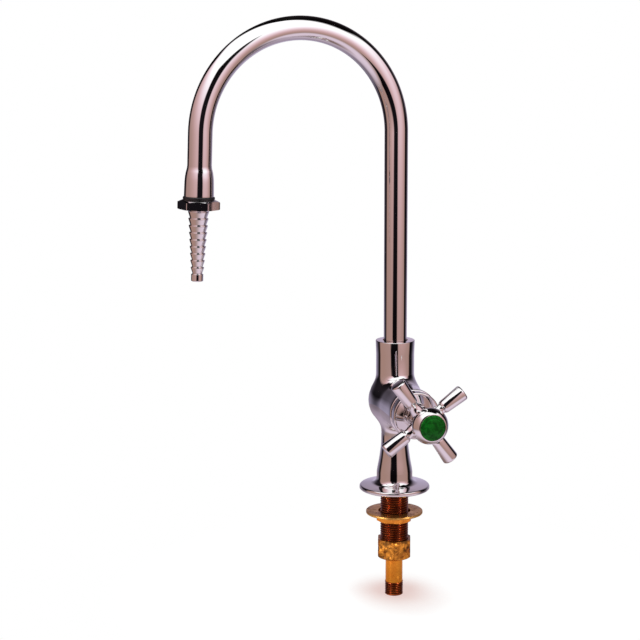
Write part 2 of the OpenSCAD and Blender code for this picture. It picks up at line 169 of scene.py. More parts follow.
def combine(first: bmesh.types.BMesh, second: bmesh.types.BMesh, how: Join) -> bmesh.types.BMesh:
    """Puts two closed solids together and frees both.

    Args:
        first: The solid that is kept or cut.
        second: The solid that is added, taken away or met.
        how: The kind of join.

    Returns:
        The combined solid.
    """
    held = []
    for label, bm in (("first", first), ("second", second)):
        mesh = bpy.data.meshes.new(f"join_{label}")
        bm.to_mesh(mesh)
        bm.free()
        held.append(bpy.data.objects.new(f"join_{label}", mesh))
        bpy.context.scene.collection.objects.link(held[-1])
    cut = held[0].modifiers.new("join", "BOOLEAN")
    cut.operation = how.value
    cut.solver = "EXACT"
    cut.object = held[1]
    graph = bpy.context.evaluated_depsgraph_get()
    made = bmesh.new()
    made.from_object(held[0], graph)
    for obj in held:
        mesh = obj.data
        bpy.data.objects.remove(obj)
        bpy.data.meshes.remove(mesh)
    bmesh.ops.remove_doubles(made, verts=made.verts, dist=2e-6)
    bmesh.ops.dissolve_degenerate(made, edges=made.edges, dist=2e-6)
    return made


def joined(parts: Sequence[bmesh.types.BMesh]) -> bmesh.types.BMesh:
    """Holds several solids in one mesh, freeing each.

    Args:
        parts: The solids.

    Returns:
        One mesh with all of them.
    """
    made = bmesh.new()
    for bm in parts:
        mesh = bpy.data.meshes.new("joined")
        bm.to_mesh(mesh)
        bm.free()
        made.from_mesh(mesh)
        bpy.data.meshes.remove(mesh)
    return made


def moved(bm: bmesh.types.BMesh, place: Matrix) -> bmesh.types.BMesh:
    """Moves a mesh by a matrix whose shift is in millimetres.

    Args:
        bm: The mesh.
        place: The turn and shift.

    Returns:
        The same mesh, in its place.
    """
    real = place.copy()
    real.translation = place.translation * MM
    bmesh.ops.transform(bm, matrix=real, space=Matrix.Identity(4), verts=bm.verts)
    return bm


def rows(low: float, high: float, step: float) -> list[float]:
    """Evenly spaced heights from low to high, about a step apart."""
    count = max(1, round((high - low) / step))
    return [low + (high - low) * i / count for i in range(count + 1)]


@dataclass(frozen=True)
class Thread:
    """A cut screw thread on a rod along +Z, all in millimetres."""

    major: float
    depth: float
    pitch: float
    low: float
    high: float
    taper: float = 0.0

    def cut(self, bm: bmesh.types.BMesh) -> None:
        """Presses the thread into the rows of a turned rod.

        Args:
            bm: The rod, with a dozen rows to the pitch.
        """
        run_out = 0.8 * self.pitch
        for v in bm.verts:
            r = math.hypot(v.co.x, v.co.y) / MM
            z = v.co.z / MM
            if r < self.major - 0.12 or not self.low - 1e-4 <= z <= self.high + 1e-4:
                continue
            phase = (z / self.pitch - math.atan2(v.co.y, v.co.x) / (2 * math.pi)) % 1
            groove = min(1.0, max(0.0, 1.18 - 2.36 * abs(phase - 0.5)))
            ends = min(1.0, (z - self.low) / run_out, (self.high - z) / run_out)
            run = self.taper * (self.high - z) / (self.high - self.low)
            scale = (r - self.depth * groove * max(0.0, ends) - run) / r
            v.co.x *= scale
            v.co.y *= scale


# ------------------------------------------------------------------------- finishes


class Graph:
    """A short way to lay out shader nodes."""

    def __init__(self, tree: bpy.types.NodeTree) -> None:
        """Keeps the tree and clears it."""
        self.tree = tree
        tree.nodes.clear()

    def node(self, kind: str, **values: object) -> bpy.types.Node:
        """Adds a node.

        Args:
            kind: The node's type name.
            values: Its properties; a name with a leading "in_" sets the socket of that
                name or number.

        Returns:
            The new node.
        """
        made = self.tree.nodes.new(kind)
        for key, value in values.items():
            if key.startswith("in_"):
                name = key[3:]
                made.inputs[int(name) if name.isdigit() else name].default_value = value
            else:
                setattr(made, key, value)
        return made

    def link(self, source: bpy.types.NodeSocket, target: bpy.types.NodeSocket) -> None:
        """Joins two sockets."""
        self.tree.links.new(source, target)

    def ramp(self, source: bpy.types.NodeSocket, stops: Sequence[tuple[float, tuple]],
             smooth: bool = False) -> bpy.types.NodeSocket:
        """A colour ramp fed by a socket.

        Args:
            source: The socket that drives it.
            stops: (place, (r, g, b)) pairs in order.
            smooth: True for an eased ramp, False for a straight one.

        Returns:
            The ramp's colour socket.
        """
        made = self.node("ShaderNodeValToRGB")
        made.color_ramp.interpolation = "EASE" if smooth else "LINEAR"
        dots = made.color_ramp.elements
        while len(dots) < len(stops):
            dots.new(0.5)
        for dot, (place, colour) in zip(dots, stops):
            dot.position = place
            dot.color = (*colour, 1)
        self.link(source, made.inputs[0])
        return made.outputs[0]

    def noise(self, source: bpy.types.NodeSocket, scale: float, detail: float = 3,
              distortion: float = 0) -> bpy.types.NodeSocket:
        """Noise on a coordinate.

        Args:
            source: The coordinate.
            scale: Its frequency in 1/m.
            detail: Octaves.
            distortion: How much it swirls.

        Returns:
            The noise's value socket.
        """
        made = self.node("ShaderNodeTexNoise", in_Scale=scale, in_Detail=detail,
                         in_Distortion=distortion)
        self.link(source, made.inputs["Vector"])
        return made.outputs["Fac"]

    def mix(self, factor: bpy.types.NodeSocket, low: object, high: object,
            how: str = "MIX") -> bpy.types.NodeSocket:
        """Mixes two colours.

        Args:
            factor: The socket that says how much of high shows.
            low, high: A socket or an (r, g, b) colour each.
            how: The blend type.

        Returns:
            The mixed colour's socket.
        """
        made = self.node("ShaderNodeMix", data_type="RGBA", blend_type=how)
        self.link(factor, made.inputs[0])
        for value, socket in ((low, made.inputs[6]), (high, made.inputs[7])):
            if isinstance(value, tuple):
                socket.default_value = (*value, 1)
            else:
                self.link(value, socket)
        return made.outputs[2]

    def math(self, how: str, first: object, second: object = 0.0,
             third: float = 0.0) -> bpy.types.NodeSocket:
        """Does a sum on sockets or numbers.

        Args:
            how: The operation.
            first, second: A socket or a number each.
            third: The number that MULTIPLY_ADD adds.

        Returns:
            The result's socket.
        """
        made = self.node("ShaderNodeMath", operation=how)
        made.inputs[2].default_value = third
        for value, socket in ((first, made.inputs[0]), (second, made.inputs[1])):
            if isinstance(value, (int, float)):
                socket.default_value = value
            else:
                self.link(value, socket)
        return made.outputs[0]

    def bumps(self, layers: Sequence[tuple[bpy.types.NodeSocket, float]]) -> bpy.types.NodeSocket:
        """Stacks bumps.

        Args:
            layers: (height socket, depth in metres) pairs.

        Returns:
            The normal's socket.
        """
        normal = None
        for height, depth in layers:
            made = self.node("ShaderNodeBump", in_Strength=1.0, in_Distance=depth)
            self.link(height, made.inputs["Height"])
            if normal is not None:
                self.link(normal, made.inputs["Normal"])
            normal = made.outputs["Normal"]
        return normal


def new_material(name: str) -> tuple[bpy.types.Material, Graph, bpy.types.Node]:
    """Starts a material with one shader.

    Args:
        name: Its name.

    Returns:
        The material, its graph and its shader node.
    """
    made = bpy.data.materials.new(name)
    made.use_nodes = True
    graph = Graph(made.node_tree)
    shader = graph.node("ShaderNodeBsdfPrincipled")
    out = graph.node("ShaderNodeOutputMaterial")
    graph.link(shader.outputs[0], out.inputs[0])
    return made, graph, shader


@dataclass(frozen=True)
class ChromePlate:
    """Polished chrome plate with faint polishing waves, haze and small water marks."""

    name: str = "polished_chrome"
    tint: tuple[float, float, float] = (0.83, 0.82, 0.825)
    marks: tuple[float, float, float] = (0.60, 0.58, 0.58)
    roughness: float = 0.03
    haze: float = 0.05
    wave: float = 0.00002

    def material(self) -> bpy.types.Material:
        """Makes the finish.

        Returns:
            The material.
        """
        made, g, shader = new_material(self.name)
        place = g.node("ShaderNodeTexCoord").outputs["Object"]
        broad = g.noise(place, 55, 2)
        fine = g.noise(place, 420, 3)
        specks = g.noise(place, 1500, 2)
        spots = g.ramp(specks, [(0.68, (0, 0, 0)), (0.76, (1, 1, 1))])
        marked = g.mix(g.math("MULTIPLY", spots, 0.45), self.tint, self.marks)
        g.link(marked, shader.inputs["Base Color"])
        hazy = g.math("MULTIPLY_ADD", g.math("MULTIPLY", fine, broad), self.haze, self.roughness)
        g.link(g.math("ADD", hazy, g.math("MULTIPLY", spots, 0.12)), shader.inputs["Roughness"])
        shader.inputs["Metallic"].default_value = 1.0
        g.link(g.bumps([(broad, self.wave), (fine, self.wave * 0.06)]), shader.inputs["Normal"])
        return made


@dataclass(frozen=True)
class Brass:
    """Brass with tarnish in broad patches, fine grain, and tool or casting marks.

    A thread gives the radius of its crests and how deep below them it gets dark.
    """

    name: str
    light: tuple[float, float, float]
    dark: tuple[float, float, float]
    stain: tuple[float, float, float]
    roughness: float = 0.25
    swirl: float = 0.0
    scale: float = 160.0
    stain_share: float = 0.35
    grain: float = 0.00002
    ringed: bool = False
    deep: float = 0.0
    crest: float = 0.0
    metal: float = 0.75

    def material(self) -> bpy.types.Material:
        """Makes the finish.

        Returns:
            The material.
        """
        made, g, shader = new_material(self.name)
        place = g.node("ShaderNodeTexCoord").outputs["Object"]
        patches = g.noise(place, self.scale, 5, self.swirl)
        fine = g.noise(place, self.scale * 6, 4)
        body = g.ramp(patches, [(0.30, self.dark), (0.62, self.light)], smooth=True)
        dirt = g.noise(place, self.scale * 1.7, 6, self.swirl * 0.5)
        edge = 0.5 + 0.22 * (0.5 - self.stain_share)
        dirty = g.ramp(dirt, [(edge, (0, 0, 0)), (edge + 0.12, (1, 1, 1))])
        colour = g.mix(g.math("MULTIPLY", dirty, self.stain_share), body, self.stain)
        if self.crest > 0:
            groove = g.mix(g.math("MULTIPLY", fine, 0.5), self.stain, self.dark)
            colour = g.mix(self.height(g, place), groove, colour)
        g.link(colour, shader.inputs["Base Color"])
        rough = g.math("MULTIPLY_ADD", fine, 0.22, max(0.05, self.roughness - 0.11))
        g.link(g.math("ADD", rough, g.math("MULTIPLY", dirty, 0.14)), shader.inputs["Roughness"])
        shader.inputs["Metallic"].default_value = self.metal
        layers = [(patches, self.grain * 4), (fine, self.grain)]
        if self.ringed:
            wave = g.node("ShaderNodeTexWave", wave_type="BANDS", bands_direction="Z",
                          in_Scale=1400.0, in_Distortion=1.2, in_Detail=2.0)
            g.link(place, wave.inputs["Vector"])
            layers.append((wave.outputs["Fac"], 0.000006))
        g.link(g.bumps(layers), shader.inputs["Normal"])
        return made

    def height(self, g: Graph, place: bpy.types.NodeSocket) -> bpy.types.NodeSocket:
        """How far up a thread's flank a point lies, on a rod along the frame's +Z axis.

        Args:
            g: The material's graph.
            place: The coordinate.

        Returns:
            The socket, 0 in the grooves and 1 on the crests.
        """
        axes = g.node("ShaderNodeSeparateXYZ")
        g.link(place, axes.inputs[0])
        x, y = axes.outputs[0], axes.outputs[1]
        away = g.math("SQRT", g.math("ADD", g.math("MULTIPLY", x, x), g.math("MULTIPLY", y, y)))
        flank = g.node("ShaderNodeMapRange", in_1=(self.crest - self.deep) * MM,
                       in_2=(self.crest - 0.05) * MM, in_3=0.0, in_4=1.0)
        g.link(away, flank.inputs[0])
        return flank.outputs[0]


@dataclass(frozen=True)
class Enamel:
    """Glossy coloured enamel with a mottled depth and scuffs."""

    name: str = "green_enamel"
    light: tuple[float, float, float] = (0.006, 0.125, 0.010)
    dark: tuple[float, float, float] = (0.001, 0.040, 0.003)
    specks: tuple[float, float, float] = (0.012, 0.17, 0.018)

    def material(self) -> bpy.types.Material:
        """Makes the finish.

        Returns:
            The material.
        """
        made, g, shader = new_material(self.name)
        place = g.node("ShaderNodeTexCoord").outputs["Object"]
        cloud = g.noise(place, 320, 4, 0.6)
        grit = g.noise(place, 2600, 3)
        colour = g.ramp(cloud, [(0.32, self.dark), (0.66, self.light)], smooth=True)
        speckled = g.mix(g.math("MULTIPLY", grit, 0.25), colour, self.specks)
        g.link(speckled, shader.inputs["Base Color"])
        g.link(g.math("MULTIPLY_ADD", grit, 0.2, 0.15), shader.inputs["Roughness"])
        shader.inputs["IOR"].default_value = 1.3
        shader.inputs["Specular IOR Level"].default_value = 0.25
        g.link(g.bumps([(grit, 0.00001), (cloud, 0.00004)]), shader.inputs["Normal"])
        return made


@dataclass(frozen=True)
class Soft:
    """Rubber or pressed fibre: matt, speckled and slightly rough."""

    name: str
    light: tuple[float, float, float]
    dark: tuple[float, float, float]
    roughness: float
    metal: float = 0.0

    def material(self) -> bpy.types.Material:
        """Makes the finish.

        Returns:
            The material.
        """
        made, g, shader = new_material(self.name)
        place = g.node("ShaderNodeTexCoord").outputs["Object"]
        cloud = g.noise(place, 400, 4)
        grain = g.noise(place, 3000, 3)
        g.link(g.ramp(cloud, [(0.3, self.dark), (0.7, self.light)]), shader.inputs["Base Color"])
        g.link(g.math("MULTIPLY_ADD", grain, 0.2, self.roughness - 0.1), shader.inputs["Roughness"])
        shader.inputs["Metallic"].default_value = self.metal
        g.link(g.bumps([(grain, 0.00002)]), shader.inputs["Normal"])
        return made


class Finishes:
    """All the finishes of the tap, by slot, and the pieces that wear them."""

    def __init__(self) -> None:
        """Makes each material once."""
        threads = Brass("dark_thread_brass", (0.50, 0.12, 0.025), (0.24, 0.04, 0.01),
                        (0.015, 0.003, 0.002), roughness=0.26, stain_share=0.5, deep=0.8,
                        crest=10.65, metal=0.9)
        kinds: dict[Slot, ChromePlate | Brass | Soft | Enamel] = {
            Slot.CHROME: ChromePlate(),
            Slot.THREAD: threads,
            Slot.ROUGH: Brass("forged_brass", (0.62, 0.24, 0.03), (0.18, 0.05, 0.008),
                              (0.02, 0.006, 0.002), roughness=0.28, swirl=2.2, scale=85,
                              stain_share=0.8, grain=0.00008, metal=0.9),
            Slot.BRASS: Brass("turned_brass", (1.0, 0.39, 0.04), (0.92, 0.29, 0.025),
                              (0.40, 0.11, 0.015), roughness=0.18, scale=90, stain_share=0.1,
                              ringed=True, metal=0.85),
            Slot.WASHER: Brass("washer_brass", (0.62, 0.33, 0.08), (0.38, 0.17, 0.035),
                               (0.16, 0.07, 0.015), roughness=0.30, scale=120,
                               stain_share=0.4, metal=0.85),
            Slot.BRIGHT: Brass("bright_brass", (0.72, 0.26, 0.03), (0.45, 0.13, 0.015),
                               (0.14, 0.035, 0.006), roughness=0.2, scale=150,
                               stain_share=0.35, metal=0.9),
            Slot.FIBRE: Soft("pressed_fibre", (0.35, 0.07, 0.05), (0.2, 0.035, 0.025), 0.75),
            Slot.RUBBER: Soft("black_rubber", (0.03, 0.03, 0.03), (0.012, 0.012, 0.012), 0.6),
            Slot.SPRING: Soft("spring_steel", (0.45, 0.45, 0.47), (0.3, 0.3, 0.32), 0.35, 1.0),
            Slot.INDEX: Enamel(),
        }
        self.by_slot = {slot: kind.material() for slot, kind in kinds.items()}
        seal = Soft("black_seal", (0.004, 0.004, 0.005), (0.002, 0.002, 0.003), 0.45)
        self.seal = seal.material()
        self.tail_thread = replace(threads, name="dark_tail_thread", deep=0.7,
                                   crest=6.86).material()

    def dress(self, node: bpy.types.Object, slot: Slot) -> None:
        """Gives one of the frame's own pieces its finish.

        Args:
            node: The frame's object.
            slot: Its material slot.
        """
        if not node.material_slots:
            node.data.materials.append(self.by_slot[slot])
        for held in node.material_slots:
            held.material = self.by_slot[slot]

    def show(self, bm: bmesh.types.BMesh, name: str, body: str, slot: Slot, *nodes: str,
             finish: bpy.types.Material | None = None, flat: bool = False) -> None:
        """Makes a piece of the tap from its mesh.

        Args:
            bm: The mesh, in its place in the frame; it is freed.
            name: The piece's name.
            body: The body that it moves with.
            slot: Its material slot.
            nodes: The frame's nodes that it stands for.
            finish: Its material, or the slot's own where none is given.
            flat: True to weigh the normals by face, for pieces with flats.
        """
        mesh = bpy.data.meshes.new(name)
        bm.to_mesh(mesh)
        bm.free()
        mesh.shade_smooth()
        mesh.set_sharp_from_angle(angle=SMOOTH_ANGLE)
        mesh.materials.append(finish or self.by_slot[slot])
        made = bpy.data.objects.new(name, mesh)
        bpy.context.scene.collection.objects.link(made)
        if flat:
            weigh = made.modifiers.new("weigh", "WEIGHTED_NORMAL")
            weigh.keep_sharp = True
            weigh.weight = 80
        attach(made, body)
        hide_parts(*nodes)
        LOG.info("%s: %d faces on %s", name, len(mesh.polygons), body)


# ------------------------------------------------------------------------ the places


@dataclass(frozen=True)
class Places:
    """Where the sub-assemblies stand in the frame, in millimetres and degrees."""

    valve_z: float = 68.5
    swing: float = 8.0
    arch_z: float = 268.4
    arch_r: float = 75.0
    sweep: float = 177.8

    def valve(self) -> Matrix:
        """The valve's place, whose +Z points out along the frame's -Y."""
        return Matrix.Translation((0, 0, self.valve_z)) @ Matrix.Rotation(math.pi / 2, 4, "X")

    def spout(self) -> Matrix:
        """The spout's place, swung about +Z."""
        return Matrix.Rotation(math.radians(self.swing), 4, "Z")

    def drop(self) -> Matrix:
        """The drop leg's place, whose +Z runs down it from the arch's end."""
        return (self.spout() @ Matrix.Translation((-self.arch_r, 0, self.arch_z))
                @ Matrix.Rotation(-math.radians(self.sweep), 4, "Y")
                @ Matrix.Translation((self.arch_r, 0, 0)))


# ------------------------------------------------------------------------- the body


@dataclass
class BodyCasting:
    """The chromed casting: flange, pedestal, globe, front boss and collar."""

    places: Places
    flange_r: float = 26.4
    flange_t: float = 3.1
    foot_r: float = 13.4
    flare_r: float = 5.5
    waist_r: float = 10.1
    globe_r: float = 18.95
    globe_arc: float = 20.6
    lower_arc: float = 20.0
    upper_arc: float = 24.0
    collar_r: float = 14.2
    collar_top_r: float = 14.55
    collar_z: float = 114.1
    boss_r: float = 17.8
    boss_len: float = 47.5
    blend: float = 7.0

    def outline(self) -> list[tuple[float, ...]]:
        """The casting's outer outline, from the flange's underside to the collar's top.

        Returns:
            (radius, height) points, with roundings where an edge is crisp.
        """
        globe_z = self.places.valve_z + 1.1
        globe_cx = self.globe_r - self.globe_arc
        low_cx = self.waist_r + self.lower_arc
        low_cz = globe_z - math.sqrt((self.globe_arc + self.lower_arc) ** 2 - (low_cx - globe_cx) ** 2)
        up_cx = self.collar_r + self.upper_arc
        up_cz = globe_z + math.sqrt((self.globe_arc + self.upper_arc) ** 2 - (up_cx - globe_cx) ** 2)
        low_a = math.degrees(math.atan2(globe_z - low_cz, globe_cx - low_cx))
        up_a = math.degrees(math.atan2(up_cz - globe_z, up_cx - globe_cx))
        flange = self.flange_t
        pedestal = [(self.foot_r, 13.43), (self.foot_r - 0.55, 16.99), (self.foot_r - 1.75, 23.5),
                    (self.waist_r + 0.75, 29.03), (self.waist_r + 0.2, 33.58), (self.waist_r, 37.5)]
        return [
            (0, 0), (self.flange_r - 0.6, 0), (self.flange_r, 0.6),
            *arc(self.flange_r - flange / 2, flange / 2 + 0.2, flange / 2, 0, 80, 10),
            (self.foot_r + self.flare_r + 1.2, flange + 1),
            *arc(self.foot_r + self.flare_r, flange + 1.3 + self.flare_r, self.flare_r, 262, 188,
                 16),
            *eased(pedestal, 24),
            *arc(low_cx, low_cz, self.lower_arc, 180, low_a, 18),
            *arc(globe_cx, globe_z, self.globe_arc, low_a - 180, up_a, 44)[1:],
            *arc(up_cx, up_cz, self.upper_arc, up_a + 180, 180, 22)[1:],
            (self.collar_r, 104), (self.collar_top_r, self.collar_z, 0.5), (0, self.collar_z),
        ]

    def boss_outline(self) -> list[tuple[float, ...]]:
        """The front boss along the valve's axis.

        Returns:
            (radius, distance) points.
        """
        near = self.boss_r - 0.5
        wall = [(near, s) for s in rows(0, 30, 1.5)]
        return [(0, 0), *wall, (self.boss_r - 0.35, 38), (self.boss_r, 43),
                (self.boss_r, self.boss_len, 1.0), (0, self.boss_len)]

    def soften(self, bm: bmesh.types.BMesh) -> None:
        """Fills the valley between the turned body and the boss with a smooth fillet.

        Args:
            bm: The joined casting, whose points near the valley are moved out.
        """
        sides = [(p[0], p[1]) for p in self.outline()[3:-1]]
        reach = self.blend

        def gap(p: Vector) -> float:
            """The smooth distance of a point from the casting's skin, in millimetres."""
            body = side_gap(sides, math.hypot(p.x, p.y), p.z)
            boss = max(math.hypot(p.x, p.z - self.places.valve_z) - self.boss_r + 0.5, p.y - 4)
            share = max(reach - abs(body - boss), 0.0) / reach
            return min(body, boss) - share * share * reach / 4

        for v in bm.verts:
            p = v.co / MM
            if not 42 < p.z < 100 or p.y > 3 or p.y < -36:
                continue
            for _ in range(4):
                here = gap(p)
                if here > -1e-3:
                    break
                step = 0.05
                slope = Vector((gap(p + Vector((step, 0, 0))) - here,
                                gap(p + Vector((0, step, 0))) - here,
                                gap(p + Vector((0, 0, step))) - here)) / step
                p -= slope * (here / max(slope.length_squared, 0.2))
            v.co = p * MM

    def build(self, finishes: Finishes) -> None:
        """Builds the casting with its bores.

        Args:
            finishes: The tap's finishes.
        """
        trunk = turned(self.outline(), 144)
        boss = moved(turned(self.boss_outline(), 144), self.places.valve())
        cast = combine(trunk, boss, Join.ADD)
        self.soften(cast)
        shank = turned([(0, -2), (10.7, -2), (10.7, 11), (5, 11), (5, 72.5), (0, 72.5)], 64)
        cast = combine(cast, shank, Join.TAKE)
        seat = turned([(0, -3), (5, -3), (5, 8), (7.05, 8), (7.05, 15), (11, 15), (11, 33),
                       (12.55, 33), (12.55, 60), (0, 60)], 72)
        cast = combine(cast, moved(seat, self.places.valve()), Join.TAKE)
        collar = turned([(0, 86), (6.5, 86), (6.5, 91), (9.3, 91), (9.3, 120), (0, 120)], 96)
        cast = combine(cast, collar, Join.TAKE)
        finishes.show(cast, "body_casting", "tap", Slot.CHROME, "tap_body")


def eased(points: Sequence[tuple[float, float]], count: int) -> list[tuple[float, float]]:
    """Runs a smooth curve through the points of an outline.

    Args:
        points: (radius, height) points with rising heights.
        count: The number of steps.

    Returns:
        count + 1 points on the curve.
    """
    made = []
    for i in range(count + 1):
        t = i / count * (len(points) - 1)
        k = min(int(t), len(points) - 2)
        f = t - k
        before, here = points[max(k - 1, 0)], points[k]
        after, later = points[k + 1], points[min(k + 2, len(points) - 1)]
        made.append(tuple(
            0.5 * (2 * b + (c - a) * f + (2 * a - 5 * b + 4 * c - d) * f * f
                   + (3 * b - a - 3 * c + d) * f ** 3)
            for a, b, c, d in zip(before, here, after, later)))
    return made


def side_gap(sides: Sequence[tuple[float, float]], r: float, z: float) -> float:
    """The distance of a point outside a turned side, square to it.

    Args:
        sides: The side's (radius, height) points with rising heights.
        r: The point's radius.
        z: The point's height.

    Returns:
        The distance in millimetres, negative inside.
    """
    for (r0, z0), (r1, z1) in zip(sides, sides[1:]):
        if z0 <= z <= z1 and z1 > z0:
            lean = (r1 - r0) / (z1 - z0)
            return (r - (r0 + lean * (z - z0))) / math.sqrt(1 + lean * lean)
    return r - sides[-1][0]


# ------------------------------------------------------------------------ the valve


@dataclass
class Valve:
    """The bonnet and the gland nut in front of the body."""

    places: Places
    bonnet_r: float = 17.3
    back: float = 48.5
    front: float = 55.5
    rim_ease: float = 1.2
    neck_r: float = 9.2
    neck_front: float = 60.0
    gland_af: float = 15.0

    def bonnet_outline(self) -> list[tuple[float, ...]]:
        """The bonnet's outline as a loop round its hollow.

        Returns:
            (radius, distance) points.
        """
        rim = self.rim_ease
        return [
            (9.55, 35), (11.9, 35), (12.5, 35.6), (12.5, self.back),
            (self.bonnet_r, self.back, 0.5),
            *arc(self.bonnet_r - rim, self.front - rim, rim, 0, 105, 12),
            (self.bonnet_r - 1.7, self.front - 0.12, 0.12),
            (self.neck_r, self.front - 3.1, 0.7), (self.neck_r - 0.3, self.neck_front, 0.5),
            (7.4, self.neck_front), (7.4, 49.5), (5.1, 49.5), (5.1, 47.5), (9.55, 47.5),
        ]

    def build(self, finishes: Finishes) -> None:
        """Builds both pieces.

        Args:
            finishes: The tap's finishes.
        """
        bonnet = moved(turned(self.bonnet_outline(), 128, closed=True), self.places.valve())
        finishes.show(bonnet, "bonnet_cap", "tap", Slot.CHROME, "bonnet")
        cone = turned([(5.08, 53.3), (7.35, 53.3), (7.35, 60), (9.2, 60), (9.2, 61.2),
                       (8.2, 62, 0.2),
                       (5.08, 62)], 72, closed=True)
        prism = hexagon(self.gland_af, 52, 63, 0, 0.2)
        gland = moved(combine(cone, prism, Join.COMMON), self.places.valve())
        finishes.show(gland, "gland_hexagon", "tap", Slot.CHROME, "gland_nut", flat=True)


# ----------------------------------------------------------------------- the handle


@dataclass
class Handle:
    """The four-arm handle with its domed index."""

    places: Places
    back: float = 63.0
    barrel_r: float = 9.8
    rim_s: float = 86.5
    hub_r: float = 13.2
    front: float = 92.6
    index_r: float = 9.2
    arm_plane: float = 72.8
    arm_len: float = 34.9
    arm_r0: float = 4.9
    arm_r1: float = 5.85
    arm_neck: float = 3.8
    arm_root: float = 16.5
    first_turn: float = 35.1

    def hub_outline(self) -> list[tuple[float, ...]]:
        """The hub's outline as a loop round its bore and its cup.

        Returns:
            (radius, distance) points.
        """
        return [
            (3.3, self.back), (self.barrel_r - 1.6, self.back, 0.5),
            (self.barrel_r, self.back + 4.5, 1.5),
            (self.barrel_r, 79, 2.0), (self.barrel_r + 1, 82, 1.2),
            (self.hub_r, self.rim_s - 1.6, 1.0),
            (self.hub_r, self.rim_s + 0.6, 1.4), (self.hub_r - 1.6, self.rim_s + 4.1, 1.4),
            (self.index_r + 0.8, self.front - 0.2, 0.5), (self.index_r + 0.1, self.front, 0.15),
            (self.index_r + 0.1, self.front - 1.4), (7.5, self.front - 1.4), (7.5, 80), (2.2, 80),
            (2.2, 78), (3.3, 78),
        ]

    def arm(self, turn: float) -> bmesh.types.BMesh:
        """One arm, turned to its place round the hub.

        Args:
            turn: Its turn from +X in degrees.

        Returns:
            The arm in the valve's own place.
        """
        bm = turned([
            (0, self.barrel_r - 1.5), (self.arm_neck + 1.1, self.barrel_r - 1.5),
            (self.arm_neck + 0.8, self.barrel_r + 0.8, 0.5),
            (self.arm_neck, self.barrel_r + 4, 0.8),
            (self.arm_neck, self.arm_root - 0.6, 0.3),
            (self.arm_r0 - 0.55, self.arm_root - 0.4, 0.35),
            (self.arm_r0, self.arm_root + 1.0, 0.6),
            (self.arm_r1, self.arm_len, 1.5), (0, self.arm_len),
        ], 64)
        lay = Matrix.Rotation(math.pi / 2, 4, "Y")
        out = Matrix.Rotation(math.radians(turn), 4,
                              "Z") @ Matrix.Translation((0, 0, self.arm_plane))
        return moved(bm, out @ lay)

    def build(self, finishes: Finishes) -> None:
        """Builds the handle and the index.

        Args:
            finishes: The tap's finishes.
        """
        hub = turned(self.hub_outline(), 128, closed=True)
        for k in range(4):
            hub = combine(hub, self.arm(self.first_turn + 90 * k), Join.ADD)
        grip = moved(hub, self.places.valve())
        finishes.show(grip, "cross_grip", "handle", Slot.CHROME, "cross_handle")
        low, dome = self.front - 1.4, 22.6
        radii = [self.index_r * (1 - k / 26) for k in range(26)]
        skin = [(r, self.front + 2 - dome + math.sqrt(dome * dome - r * r) - ring_dip(r))
                for r in radii]
        button = turned([(0, 84), (7.4, 84, 0.2), (7.4, low), (self.index_r, low, 0.15),
                         (self.index_r, self.front - 0.25, 0.2), *skin[1:], (0, self.front + 2)],
                         96)
        index = moved(button, self.places.valve())
        finishes.show(index, "index_dome", "handle", Slot.INDEX, "index_button")


def ring_dip(r: float) -> float:
    """The depth of the index's plain engraved ring at radius r, in millimetres."""
    return 0.22 * math.exp(-((r - 6.9) / 0.35) ** 2)


# ------------------------------------------------------------------------ the spout


